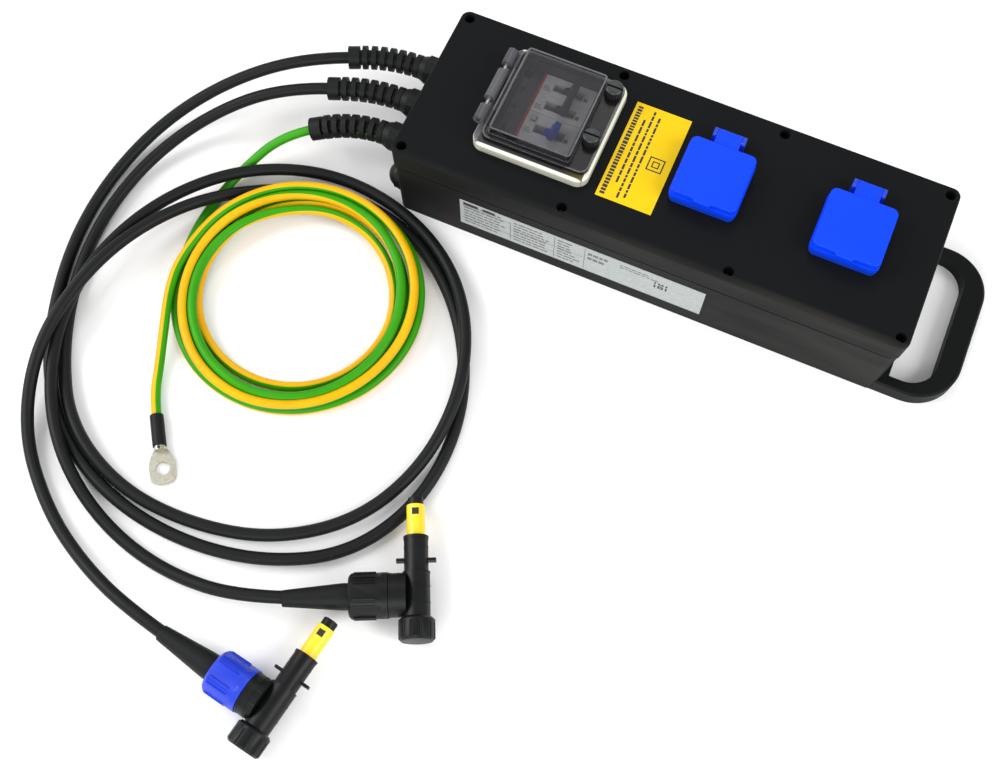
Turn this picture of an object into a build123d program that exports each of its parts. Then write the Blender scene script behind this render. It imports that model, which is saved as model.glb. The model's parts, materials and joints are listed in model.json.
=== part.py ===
from build123d import *
import math
import os

os.makedirs("parts", exist_ok=True)

# Portable power distribution box, in millimetres.
# The origin is the centre of the enclosure's underside. +Z is up, +X points to the carry handle,
# and the three cables leave through the -X end.

# ---- enclosure ----
LENGTH = 400.0
WIDTH = 140.0
HEIGHT = 85.0
DRAFT_INSET = 3.5          # how far each side leans in from the top to the underside
CORNER_R = 6.0
WALL = 3.5
FLOOR = 4.0
SEAM_Z = 62.0              # top of the tray
GASKET = 1.0
LID_PLATE = 4.0
TOP_EDGE_R = 2.0
DRAFT = math.degrees(math.atan(DRAFT_INSET / HEIGHT))

# ---- cover screws ----
SCREW_X = (-192.5, -64.3, 64.3, 192.5)
SCREW_Y = (-62.4, 62.4)
BOSS_R = 5.9
COUNTERBORE_R = 4.0
COUNTERBORE_DEPTH = 11.0
HEAD_R = 3.5
HEAD_H = 3.2
SHANK_R = 1.95
SHANK_END_Z = 52.0
INSERT_R = 3.2
INSERT_LEN = 10.0

# ---- carry handle ----
HANDLE_T = 14.0
HANDLE_OUT_R = 35.5
HANDLE_OUT_C = (216.3, 30.5)
HANDLE_IN_R = 22.0
HANDLE_IN_C = (212.5, 35.0)
HANDLE_FLANGE_X = 203.0
HANDLE_BOLT_Y = (-50.0, -20.0, 20.0, 50.0)
HANDLE_BOLT_Z = 9.5

# ---- breaker window ----
WIN_X = -100.5
WIN_Y = 3.0
WIN_L = 91.5
WIN_W = 92.0
FRAME_TOP = 94.0
FRAME_R = 9.0
WIN_HOLE = (-137.0, -73.5, -37.0, 43.0)      # low x, high x, low y, high y
SKIRT_T = 2.0
HINGE_X = -146.0
HINGE_Z = 98.2
KNUCKLE_R = 4.4
KNUCKLE_Y = (-20.5, 32.7)
KNUCKLE_LEN = 13.0
BARREL_Y = 6.5
BARREL_LEN = 26.0
PIN_R = 1.5
FIT = 0.05                 # radial clearance of a running fit
FLAP = (-140.5, -56.5, -38.0, 46.0)
FLAP_Z = 94.3
FLAP_T = 2.5
DOME = (-136.0, -71.0, -34.0, 44.5)
DOME_TOP = 104.0
DOME_WALL = 2.0
THUMB_X = -64.0
THUMB_Y = (-9.0, 36.0)
THUMB_R = 6.5
THUMB_H = 8.0
THUMB_SHANK_R = 2.5

# ---- protection devices on their rail ----
DEV_X = -97.5
RAIL_Z = 26.0
RAIL_LEN = 112.0
DEV_BODY = 88.0
DEV_SHOULDER_Z = 70.0
DEV_NOSE = 42.0
DEV_NOSE_Z = 84.0
POLE_W = 17.5
RCD_W = 26.0
DEV_GAP = 0.1
POLE_Y = (31.9, 14.4)
RCD_Y = -7.5
TOGGLE_Z = 80.5
TOGGLE_R = 4.5
TOGGLE_LEAN = 26.0
TERMINAL_Z = 62.0

# ---- socket outlets ----
SOCKET_X = (28.2, 135.5)
FLANGE = 50.5
FLANGE_T = 4.5
CUP_R = 22.0
WELL_R = 19.5
WELL_DEPTH = 17.5
CUP_END_Z = 67.0
LID_BASE_Z = 89.8
LID_TOP_Z = 100.0
LID_WALL = 2.2
LID_PIN_Y = 36.5
LID_PIN_Z = 93.8
EAR_R = 4.3
TAB_HALF = 9.4
EAR_OUT = 12.5
CONTACT_PITCH = 19.0
CONTACT_R = 2.9

# ---- glands ----
GLAND_Y = (33.5, 0.0, -33.5)
GLAND_Z = 42.0
PAD_FACE_X = -199.5
PAD_BACK_X = -193.8
PAD_R = 13.0
THREAD_R = 8.0
GLAND_FLANGE_X = -205.5
GLAND_STUB_X = -210.0
NUT_END_X = -224.0
NUT_AF = 22.0
SPIRAL_R = 9.3
SPIRAL_START_X = -218.0
SPIRAL_SHARE = (0.5, 0.5, 0.62)     # how far each sleeve reaches along its cord's second run
SPIRAL_TURNS = 7
SPIRAL_CAP = 9.0
CORD_GAP = 0.35            # spiral sleeve to cord
PLUG_Y = -51.5
PLUG_Z = 23.0
PLUG_R = 11.5
PLUG_FACE_X = -199.0

# ---- cords ----
CABLE_D = 9.4
LEAD_D = 7.4
CABLE_1_ROUTE = [
    (-188, 33.5, 42), (-246, 33.5, 42), (-312, 4, 41), (-361, -29, 27), (-398, -74, 12),
    (-416, -131, 5), (-416, -191, 5), (-402, -249, 5), (-377, -304, 5), (-336, -348, 5),
    (-281, -373, 5), (-221, -380, 5), (-162, -370, 5), (-109, -341, 5), (-79, -288, 5),
    (-75, -228, 5), (-92, -171, 5), (-127, -122, 5), (-176, -87, 5), (-236, -76, 5),
    (-292, -94, 5), (-338, -132, 16), (-369, -183, 24), (-384, -240, 27), (-385, -298, 22.5),
    (-366.5, -353.5, 6), (-322.5, -396.5, 5), (-276.5, -422.5, 8), (-224.5, -439.8, 16.4),
    (-170.2, -448.7, 16.4)]
CABLE_2_ROUTE = [
    (-188, 0, 42), (-246, 0, 42), (-317, -26, 37), (-364, -60, 20), (-395, -111, 8),
    (-405, -171, 5), (-396, -231, 5), (-373, -287, 6), (-337, -336, 9.5), (-282, -363, 6),
    (-221, -366, 5), (-162, -352, 5), (-113, -315, 5), (-87, -260, 8), (-84, -199, 15.5),
    (-104, -142, 15.5), (-143, -96, 8), (-199, -71, 10.5), (-260, -67, 10), (-316, -91, 14.5),
    (-359, -134, 15), (-384, -189, 15), (-389, -250, 15.5), (-370, -308, 15.5), (-334, -357, 13),
    (-283, -390, 5), (-222, -405, 6), (-157.2, -400.3, 16.4), (-107.5, -376.8, 16.4)]
LEAD_IN_ROUTE = [
    (-188, -33.5, 42), (-246, -33.5, 42), (-300, -58, 27), (-326, -94, 4), (-333, -140, 4.2),
    (-324, -182, 6.5)]
LEAD_OUT_ROUTE = [
    (-322, -202, 4), (-311.5, -231, 4), (-301, -260, 4.2), (-293.5, -289.3, 5.2), (-284.5, -302.5, 5.2)]
COIL_C = (-233.7, -175.3)
COIL_IN_R = 71.0
COIL_OUT_R = 95.0
COIL_H = 14.8
COIL_TILT = 2.7            # its far side lies on cable 1
COIL_FLOOR = 0.3

# ---- earth lug ----
SLEEVE_R = 5.1
SLEEVE_LEN = 25.0
BARREL_R = 4.2
LUG_AXIS_Z = 5.2
PALM_W = 19.5
PALM_T = 2.5
PALM_LEN = 26.0
LUG_HOLE_R = 5.25
LUG_HOLE_FROM_START = 41.5

# ---- T connectors ----
TEE_C = ((-108.0, -459.0), (-50.6, -349.8))
TEE_BOOT_DIR = ((-0.987, 0.163), (-0.903, -0.428))
TEE_Z = 16.4
TEE_R = 9.6
TUBE_R = 8.6
DISC_R = 14.2              # tip to centre of the finger wings
WING_HALF_H = 3.5
NECK_R = 15.3
NECK_END = 19.1
RING_R = 16.1
RING_END = 46.7
SPIGOT_R = 12.0
BOOT_END = 93.0
BOOT_R = 9.4
BOOT_TIP_R = 5.8
KNOB_R = 12.8
KNOB_Y = (16.3, 32.6)
TUBE_Y = -41.6
YELLOW_Y = -64.4
TIP_Y = -70.3
YELLOW_R = 6.5
TIP_R = 5.5


def save(name, shape):
    """Write one sub-part, with its separate pieces as separate solids."""
    solids = shape.solids()
    export_step(Compound(children=list(solids)) if len(solids) > 1 else solids[0], f"parts/{name}.step")
    print(f"{name}: {len(solids)} solid(s)")


def drafted_block(inset, z_low, z_high):
    """A block whose sides run parallel to the enclosure's drafted sides, inset inside them."""
    lean = DRAFT_INSET * (1 - z_low / HEIGHT) + inset
    corner = max(CORNER_R - inset, 1.5)
    outline = Plane.XY.offset(z_low) * RectangleRounded(LENGTH - 2 * lean, WIDTH - 2 * lean, corner)
    return extrude(outline, z_high - z_low, taper=-DRAFT)


def upright(radius, z_low, z_high, x=0.0, y=0.0):
    """An upright cylinder between two heights."""
    return Pos(x, y, z_low) * extrude(Circle(radius), z_high - z_low)


def along_x(radius, x_low, x_high, y=0.0, z=0.0):
    """A cylinder along X."""
    return extrude(Plane((x_low, y, z), z_dir=(1, 0, 0)) * Circle(radius), x_high - x_low)


def along_y(radius, y_low, y_high, x=0.0, z=0.0):
    """A cylinder along Y."""
    return extrude(Plane((x, y_low, z), z_dir=(0, 1, 0)) * Circle(radius), y_high - y_low)


def block(x_low, x_high, y_low, y_high, z_low, z_high):
    """A plain block between limits."""
    size = (x_high - x_low, y_high - y_low, z_high - z_low)
    centre = ((x_low + x_high) / 2, (y_low + y_high) / 2, (z_low + z_high) / 2)
    return Pos(*centre) * Box(*size)


def rounded_block(x_low, x_high, y_low, y_high, z_low, z_high, corner, taper=0.0):
    """A block with rounded upright corners."""
    outline = RectangleRounded(x_high - x_low, y_high - y_low, corner)
    base = Pos((x_low + x_high) / 2, (y_low + y_high) / 2, z_low)
    return base * extrude(outline, z_high - z_low, taper=taper)


def screw_places():
    return [(x, y) for x in SCREW_X for y in SCREW_Y]


# ---------------------------------------------------------------- enclosure
def make_tray():
    tray = drafted_block(0, 0, SEAM_Z) - drafted_block(WALL, FLOOR, SEAM_Z + 1)
    bosses = [upright(BOSS_R, FLOOR - 1, SEAM_Z, x, y) for x, y in screw_places()]
    posts = [upright(5, FLOOR - 1, RAIL_Z - 7.5, DEV_X, y) for y in (-46, 46)]
    pads = [along_x(PAD_R, PAD_FACE_X, PAD_BACK_X, y, GLAND_Z) for y in GLAND_Y]
    pads.append(along_x(PLUG_R + 0.5, PLUG_FACE_X, PAD_BACK_X, PLUG_Y, PLUG_Z))
    outer = drafted_block(0, 0, SEAM_Z)
    tray = tray + [boss & outer for boss in bosses] + posts + pads
    holes = [upright(INSERT_R, SEAM_Z - INSERT_LEN - 1, SEAM_Z + 1, x, y) for x, y in screw_places()]
    holes += [upright(1.6, 6, RAIL_Z, DEV_X, y) for y in (-46, 46)]
    holes += [along_x(THREAD_R, PAD_FACE_X - 1, PAD_BACK_X + 1, y, GLAND_Z) for y in GLAND_Y]
    holes.append(along_x(THREAD_R, PLUG_FACE_X - 1, PAD_BACK_X + 1, PLUG_Y, PLUG_Z))
    holes.append(along_x(11.4, PAD_BACK_X, -186, PLUG_Y, PLUG_Z))
    holes += [along_x(2.6, 190, 200, y, HANDLE_BOLT_Z) for y in HANDLE_BOLT_Y]
    save("tray", tray - holes)


def make_cover():
    z_low = SEAM_Z + GASKET
    skin = drafted_block(0, z_low, HEIGHT)
    top_edges = skin.faces().sort_by(Axis.Z)[-1].edges()
    skin = fillet(top_edges, TOP_EDGE_R)
    hollow = drafted_block(WALL, z_low - 1, HEIGHT - LID_PLATE)
    bosses = [upright(BOSS_R, z_low, HEIGHT - 1, x, y) & skin for x, y in screw_places()]
    cover = skin - hollow + bosses
    seat = HEIGHT - COUNTERBORE_DEPTH - HEAD_H
    holes = []
    for x, y in screw_places():
        holes.append(upright(COUNTERBORE_R, seat, HEIGHT + 1, x, y))
        holes.append(upright(SHANK_R + 0.35, z_low - 1, seat, x, y))
    x0, x1, y0, y1 = WIN_HOLE
    holes.append(rounded_block(x0 - 0.2, x1 + 0.2, y0 - 0.2, y1 + 0.2, 70, 90, 3))
    for x in SOCKET_X:
        holes.append(upright(CUP_R + 0.2, 70, 90, x))
        holes += [upright(1.3, 70, 90, x + a, b) for a in (-20.5, 20.5) for b in (-20.5, 20.5)]
    save("cover", cover - holes)


def make_cover_gasket():
    ring = drafted_block(0.7, SEAM_Z, SEAM_Z + GASKET) - drafted_block(2.9, SEAM_Z - 0.1, SEAM_Z + 1.1)
    save("cover_gasket", ring)


def make_cover_fasteners():
    top = HEIGHT - COUNTERBORE_DEPTH
    screws = []
    inserts = []
    for x, y in screw_places():
        head = upright(HEAD_R, top - HEAD_H, top, x, y)
        socket = Pos(x, y, top - 1.8) * extrude(RegularPolygon(1.6, 6), 3)
        screws.append(head - socket + upright(SHANK_R, SHANK_END_Z, top - HEAD_H, x, y))
        low = SEAM_Z - INSERT_LEN
        insert = upright(INSERT_R, low, SEAM_Z, x, y) - upright(SHANK_R + 0.05, low - 1, SEAM_Z + 1, x, y)
        inserts.append(insert)
    save("cover_screws", Compound(children=screws))
    save("cover_inserts", Compound(children=inserts))


def make_labels():
    save("warning_label", block(-46.5, -2.9, -42.7, 44.5, HEIGHT, HEIGHT + 0.3))
    middle_z = 33.5
    face_y = WIDTH / 2 - DRAFT_INSET * (1 - middle_z / HEIGHT)
    plate = Box(198, 0.3, 37)
    save("rating_label", Pos(-44, -face_y - 0.15, middle_z) * Rot(DRAFT, 0, 0) * plate)


def handle_outline(radius, centre, back_x):
    """Half-round-cornered outline that runs from the end wall round the grip and back."""
    cx, cy = centre
    side = cy + radius
    far = cx + radius
    bow = Polyline((cx, side), (back_x, side), (back_x, -side), (cx, -side))
    near = ThreePointArc((cx, -side), (cx + radius * 0.7071, -cy - radius * 0.7071), (far, -cy))
    grip = Line((far, -cy), (far, cy))
    rear = ThreePointArc((far, cy), (cx + radius * 0.7071, cy + radius * 0.7071), (cx, side))
    return make_face([bow, near, grip, rear])


def make_handle():
    plate = extrude(handle_outline(HANDLE_OUT_R, HANDLE_OUT_C, 190), HANDLE_T)
    plate = chamfer(plate.faces().sort_by(Axis.Z)[-1].edges(), 1.5)
    hole = extrude(handle_outline(HANDLE_IN_R, HANDLE_IN_C, HANDLE_FLANGE_X), HANDLE_T + 2)
    plate = plate - Pos(0, 0, -1) * hole - drafted_block(-0.02, -1, 30)
    plate = plate - [along_x(2.1, 190, HANDLE_FLANGE_X - 0.8, y, HANDLE_BOLT_Z) for y in HANDLE_BOLT_Y]
    save("carry_handle", plate)
    bolts = []
    wall_x = LENGTH / 2 - DRAFT_INSET - WALL + 0.2
    for y in HANDLE_BOLT_Y:
        head = along_x(4.2, wall_x - 3.2, wall_x, y, HANDLE_BOLT_Z)
        bolts.append(head + along_x(2.1, wall_x, HANDLE_FLANGE_X - 0.8, y, HANDLE_BOLT_Z))
    save("handle_bolts", Compound(children=bolts))


# ---------------------------------------------------------------- protection devices
def make_rail():
    low = RAIL_Z - 7.5
    half = RAIL_LEN / 2
    hat = block(DEV_X - 12.5, DEV_X + 12.5, -half, half, low, low + 1)
    for side in (-1, 1):
        wall = sorted((DEV_X + side * 11.5, DEV_X + side * 12.5))
        lip = sorted((DEV_X + side * 11.5, DEV_X + side * 17.5))
        hat += block(*wall, -half, half, low, RAIL_Z)
        hat += block(*lip, -half, half, RAIL_Z - 1, RAIL_Z)
    hat -= [upright(2.2, low - 1, low + 2, DEV_X, y) for y in (-46, 46)]
    save("din_rail", hat)


def device_body(y, width):
    """One rail-mounted device: a wide body, a raised nose, and a slot that takes the rail."""
    half = width / 2 - DEV_GAP / 2
    body = block(DEV_X - DEV_BODY / 2, DEV_X + DEV_BODY / 2, y - half, y + half, RAIL_Z + 0.05, DEV_SHOULDER_Z)
    nose = block(DEV_X - DEV_NOSE / 2, DEV_X + DEV_NOSE / 2, y - half, y + half, DEV_SHOULDER_Z, DEV_NOSE_Z)
    nose = fillet(nose.edges().filter_by(Axis.Y).sort_by(Axis.Z)[-2:], 1.0)
    legs = [block(*sorted((DEV_X + s * 17.8, DEV_X + s * 24)), y - half, y + half, RAIL_Z - 5, RAIL_Z + 1)
            for s in (-1, 1)]
    slot = block(DEV_X - 12, DEV_X + 12, y - 3.6, y + 3.6, DEV_NOSE_Z - 9, DEV_NOSE_Z + 1)
    terminals = [upright(3.0, TERMINAL_Z, DEV_SHOULDER_Z + 1, DEV_X + s * 36, y) for s in (-1, 1)]
    entries = [along_x(2.6, *sorted((DEV_X + s * 37, DEV_X + s * 46)), y, TERMINAL_Z - 3) for s in (-1, 1)]
    return body + nose + legs - slot - terminals - entries


def toggle(y, paddle_half):
    """A rocker drum with a paddle that leans towards the handle end."""
    drum = along_y(TOGGLE_R, y - 3.2, y + 3.2, DEV_X, TOGGLE_Z)
    paddle = block(-2.2, 2.2, y - paddle_half, y + paddle_half, 5.5, 13.4)
    stem = block(-2.2, 2.2, y - 3.0, y + 3.0, 1.0, 6.5)
    return drum + Pos(DEV_X, 0, TOGGLE_Z) * Rot(0, TOGGLE_LEAN, 0) * (paddle + stem)


def make_devices():
    low = RAIL_Z - 6.5
    screws = [upright(3.5, low, low + 2.4, DEV_X, y) + upright(1.6, 8, low, DEV_X, y) for y in (-46, 46)]
    save("breaker_poles", Compound(children=[device_body(y, POLE_W) for y in POLE_Y]))
    rcd = device_body(RCD_Y, RCD_W)
    button_hole = block(DEV_X - 17.15, DEV_X - 12.85, RCD_Y + 4.85, RCD_Y + 10.15, 78, 90)
    save("rcd_module", rcd - button_hole)
    save("test_button", block(DEV_X - 17, DEV_X - 13, RCD_Y + 5, RCD_Y + 10, 79.7, DEV_NOSE_Z + 1.8))
    for y in (*POLE_Y, RCD_Y):
        for side in (-1, 1):
            head = upright(2.9, TERMINAL_Z, TERMINAL_Z + 5, DEV_X + side * 36, y)
            screws.append(head - block(DEV_X + side * 36 - 4, DEV_X + side * 36 + 4, y - 0.4, y + 0.4,
                                       TERMINAL_Z + 4, TERMINAL_Z + 6))
    save("device_screws", Compound(children=screws))
    bar = Pos(DEV_X, 0, TOGGLE_Z) * Rot(0, TOGGLE_LEAN, 0) * block(-2.2, 2.2, POLE_Y[1], POLE_Y[0], 6.5, 12.0)
    save("breaker_toggles", toggle(POLE_Y[0], 5.0) + toggle(POLE_Y[1], 5.0) + bar)
    save("rcd_toggle", toggle(RCD_Y, 6.5))


# ---------------------------------------------------------------- breaker window
def make_window():
    x0, x1 = WIN_X - WIN_L / 2, WIN_X + WIN_L / 2
    y0, y1 = WIN_Y - WIN_W / 2, WIN_Y + WIN_W / 2
    hx0, hx1, hy0, hy1 = WIN_HOLE
    frame = rounded_block(x0, x1, y0, y1, HEIGHT, FRAME_TOP, FRAME_R)
    frame = fillet(frame.faces().sort_by(Axis.Z)[-1].edges(), 3.0)
    frame += rounded_block(hx0, hx1, hy0, hy1, HEIGHT - 6, HEIGHT + 1, 3)
    frame -= rounded_block(hx0 + SKIRT_T, hx1 - SKIRT_T, hy0 + SKIRT_T, hy1 - SKIRT_T, 70, 100, 2)
    half = BARREL_LEN / 2
    frame += along_y(KNUCKLE_R, BARREL_Y - half, BARREL_Y + half, HINGE_X, HINGE_Z)
    frame += block(HINGE_X + 0.3, HINGE_X + KNUCKLE_R, BARREL_Y - half, BARREL_Y + half, 90, HINGE_Z)
    frame -= along_y(PIN_R, -60, 60, HINGE_X, HINGE_Z)
    groove = rounded_block(hx0 - 1.4, hx1 + 1.4, hy0 - 1.4, hy1 + 1.4, FRAME_TOP - 1.2, FRAME_TOP + 1, 4)
    groove -= rounded_block(hx0 + 0.6, hx1 - 0.6, hy0 + 0.6, hy1 - 0.6, FRAME_TOP - 2, FRAME_TOP + 2, 2.6)
    frame -= groove
    frame -= [upright(THUMB_SHANK_R + 0.3, HEIGHT + 1, FRAME_TOP + 1, THUMB_X, y) for y in THUMB_Y]
    save("window_frame", frame)
    seal = rounded_block(hx0 - 1.4, hx1 + 1.4, hy0 - 1.4, hy1 + 1.4, FRAME_TOP - 1.2, FRAME_TOP, 4)
    seal -= rounded_block(hx0 + 0.6, hx1 - 0.6, hy0 + 0.6, hy1 - 0.6, FRAME_TOP - 2, FRAME_TOP + 2, 2.6)
    save("window_seal", seal)
    save("window_flap", window_flap())
    for number, y in enumerate(THUMB_Y, start=1):
        save(f"window_screw_{number}", thumb_screw(y))


def window_flap():
    plate_top = FLAP_Z + FLAP_T
    flap = rounded_block(*FLAP, FLAP_Z, plate_top, 7)
    dome = rounded_block(*DOME, plate_top - 0.5, DOME_TOP, 3, taper=3)
    dome = fillet(dome.faces().sort_by(Axis.Z)[-1].edges(), 1.2)
    dx0, dx1, dy0, dy1 = DOME
    inside = rounded_block(dx0 + DOME_WALL, dx1 - DOME_WALL, dy0 + DOME_WALL, dy1 - DOME_WALL,
                           FLAP_Z - 1, DOME_TOP - DOME_WALL, 2, taper=3)
    flap = flap + dome - inside
    for y in KNUCKLE_Y:
        half = KNUCKLE_LEN / 2
        flap += along_y(KNUCKLE_R, y - half, y + half, HINGE_X, HINGE_Z)
        flap += block(HINGE_X, FLAP[0] + 3, y - half, y + half, FLAP_Z, plate_top + 0.8)
        flap -= along_y(PIN_R + FIT, y - half - 1, y + half + 1, HINGE_X, HINGE_Z)
    clear = BARREL_LEN / 2 + 0.4
    flap -= along_y(KNUCKLE_R + 0.4, BARREL_Y - clear, BARREL_Y + clear, HINGE_X, HINGE_Z)
    flap -= [upright(THUMB_SHANK_R + FIT, FLAP_Z - 1, plate_top + 1, THUMB_X, y) for y in THUMB_Y]
    return flap


def thumb_screw(y):
    base = FLAP_Z + FLAP_T + 0.3
    head = upright(THUMB_R, base, base + THUMB_H, THUMB_X, y)
    head = chamfer(head.edges().sort_by(Axis.Z)[-1:], 0.8)
    slot = block(THUMB_X - 8, THUMB_X + 8, y - 0.9, y + 0.9, base + THUMB_H - 2.6, base + THUMB_H + 1)
    notches = []
    for step in range(18):
        angle = math.radians(20 * step)
        place = (THUMB_X + THUMB_R * math.cos(angle), y + THUMB_R * math.sin(angle))
        notches.append(upright(0.5, base - 1, base + THUMB_H - 1.5, *place))
    return head - slot - notches + upright(THUMB_SHANK_R, HEIGHT + 2, base, THUMB_X, y)


# ---------------------------------------------------------------- socket outlets
def make_socket(number, x):
    half = FLANGE / 2
    flange_top = HEIGHT + FLANGE_T
    body = rounded_block(x - half, x + half, -half, half, HEIGHT, flange_top, 5)
    body += upright(CUP_R, CUP_END_Z, HEIGHT + 1, x)
    body += rounded_block(x - EAR_OUT, x + EAR_OUT, half - 4, LID_PIN_Y + EAR_R + 0.7, HEIGHT, HEIGHT + 3.6, 1.5)
    body -= upright(WELL_R, flange_top - WELL_DEPTH, flange_top + 1, x)
    for side in (-1, 1):
        ear = sorted((x + side * (TAB_HALF + 0.3), x + side * EAR_OUT))
        body += along_x(EAR_R, *ear, LID_PIN_Y, LID_PIN_Z)
        body += block(*ear, LID_PIN_Y - EAR_R, LID_PIN_Y + EAR_R, HEIGHT + 1, LID_PIN_Z)
        body -= upright(CONTACT_R, CUP_END_Z - 1, flange_top, x + side * CONTACT_PITCH / 2)
        body -= block(x - 3.2, x + 3.2, *sorted((side * 17.0, side * 20.3)), CUP_END_Z - 1, flange_top + 1)
        for other in (-1, 1):
            body -= upright(1.6, HEIGHT - 1, flange_top + 1, x + side * 20.5, other * 20.5)
            body -= upright(2.9, flange_top - 1.6, flange_top + 1, x + side * 20.5, other * 20.5)
    body -= along_x(PIN_R, x - EAR_OUT - 1, x + EAR_OUT + 1, LID_PIN_Y, LID_PIN_Z)
    save(f"socket_{number}_body", body)
    save(f"socket_{number}_lid", socket_lid(x))
    seal = upright(WELL_R + 2.6, LID_BASE_Z + 0.4, LID_BASE_Z + 4, x)
    seal -= upright(WELL_R + 0.4, LID_BASE_Z, LID_BASE_Z + 5, x)
    save(f"socket_{number}_lid_seal", seal)


def terminal_block(x):
    terminal = upright(CUP_R - 2, 56, CUP_END_Z, x)
    for side in (-1, 1):
        terminal -= upright(CONTACT_R, 60, CUP_END_Z + 1, x + side * CONTACT_PITCH / 2)
        terminal -= block(x - 3.2, x + 3.2, *sorted((side * 16.9, side * 20.3)), 60, CUP_END_Z + 1)
    return terminal


def socket_lid(x):
    half = FLANGE / 2
    lid = rounded_block(x - half, x + half, -half, half, LID_BASE_Z, LID_TOP_Z, 5)
    lip = Pos(x, -half + 1, LID_TOP_Z - 4) * extrude(Trapezoid(19, 6.6, 60, rotation=180), 4)
    lid += lip
    lid = fillet(lid.faces().sort_by(Axis.Z)[-1].edges(), 1.2)
    lid -= rounded_block(x - half + LID_WALL, x + half - LID_WALL, -half + LID_WALL, half - LID_WALL,
                         LID_BASE_Z - 1, LID_TOP_Z - LID_WALL, 3)
    lid += upright(WELL_R + 2.6, LID_BASE_Z + 4, LID_TOP_Z - 1, x) - upright(
        WELL_R + 0.4, LID_BASE_Z, LID_TOP_Z - LID_WALL, x)
    lid += along_x(EAR_R, x - TAB_HALF, x + TAB_HALF, LID_PIN_Y, LID_PIN_Z)
    lid += block(x - TAB_HALF, x + TAB_HALF, half - 1, LID_PIN_Y, LID_PIN_Z - 1.5, LID_PIN_Z + EAR_R)
    lid -= block(x - EAR_OUT - 0.3, x - TAB_HALF, half, 45, HEIGHT, 105)
    spring_room = along_x(3.3, x - 4.2, x + 4.2, LID_PIN_Y, LID_PIN_Z)
    return lid - along_x(PIN_R + FIT, x - 20, x + 20, LID_PIN_Y, LID_PIN_Z) - spring_room


def make_socket_small_parts():
    pin_low = KNUCKLE_Y[0] - KNUCKLE_LEN / 2
    pins = [along_y(PIN_R, pin_low, KNUCKLE_Y[1] + KNUCKLE_LEN / 2, HINGE_X, HINGE_Z)]
    contacts = []
    screws = []
    springs = []
    for x in SOCKET_X:
        pins.append(along_x(PIN_R, x - EAR_OUT, x + EAR_OUT, LID_PIN_Y, LID_PIN_Z))
        springs.append(along_x(3.0, x - 4.0, x + 4.0, LID_PIN_Y, LID_PIN_Z)
                       - along_x(2.0, x - 5.0, x + 5.0, LID_PIN_Y, LID_PIN_Z))
        for side in (-1, 1):
            at = x + side * CONTACT_PITCH / 2
            contacts.append(upright(CONTACT_R, 60, HEIGHT + FLANGE_T - WELL_DEPTH - 1, at)
                            - upright(2.4, 63, 90, at))
            spring = block(x - 3, x + 3, *sorted((side * 19.4, side * 20.2)), 60.2, 86.5)
            bend = block(x - 3, x + 3, *sorted((side * 17.4, side * 19.6)), 81, 81.8)
            contacts.append(spring + bend)
            for other in (-1, 1):
                head = upright(2.8, HEIGHT + FLANGE_T - 1.6, HEIGHT + FLANGE_T - 0.1, x + side * 20.5, other * 20.5)
                screws.append(head + upright(1.3, 76, HEIGHT + FLANGE_T - 1.6, x + side * 20.5, other * 20.5))
    save("hinge_pins", Compound(children=pins))
    save("socket_terminal_blocks", Compound(children=[terminal_block(x) for x in SOCKET_X]))
    save("socket_lid_springs", Compound(children=springs))
    save("socket_contacts", Compound(children=contacts))
    save("socket_screws", Compound(children=screws))


# ---------------------------------------------------------------- cords
def cord_path(route, report=""):
    """Straight runs joined by arcs as large as the shorter of the two runs allows."""
    points = [Vector(*point) for point in route]
    radii = []
    for before, here, after in zip(points, points[1:], points[2:]):
        arriving = here - before
        leaving = after - here
        turn = math.radians(arriving.get_angle(leaving))
        shorter = min(arriving.length, leaving.length)
        radii.append(0.45 * shorter / math.tan(turn / 2))
    if report:
        print(f"{report} bend radii: {', '.join(f'{radius:.0f}' for radius in radii)}")
    return FilletPolyline(*points, radius=radii)


def tube_along(path, radius):
    start = Plane(path @ 0, z_dir=path % 0)
    return sweep(start * Circle(radius), path)


def make_cord(name, route, diameter):
    path = cord_path(route, name)
    tube = tube_along(path, diameter / 2)
    expected = math.pi * diameter ** 2 / 4 * path.length
    print(f"{name}: length {path.length:.0f} mm, volume / (section x length) {tube.volume / expected:.4f}")
    save(name, tube)


def first_bend(route, start_x, share):
    """The cord's own line round its first bend, from start_x to a share of the way along run 2."""
    begin, bend, after = [Vector(*point) for point in route[:3]]
    turn = math.radians((bend - begin).get_angle(after - bend))
    shorter = min((bend - begin).length, (after - bend).length)
    return FilletPolyline(Vector(start_x, begin.Y, begin.Z), bend, bend + (after - bend) * share,
                          radius=0.45 * shorter / math.tan(turn / 2))


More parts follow.
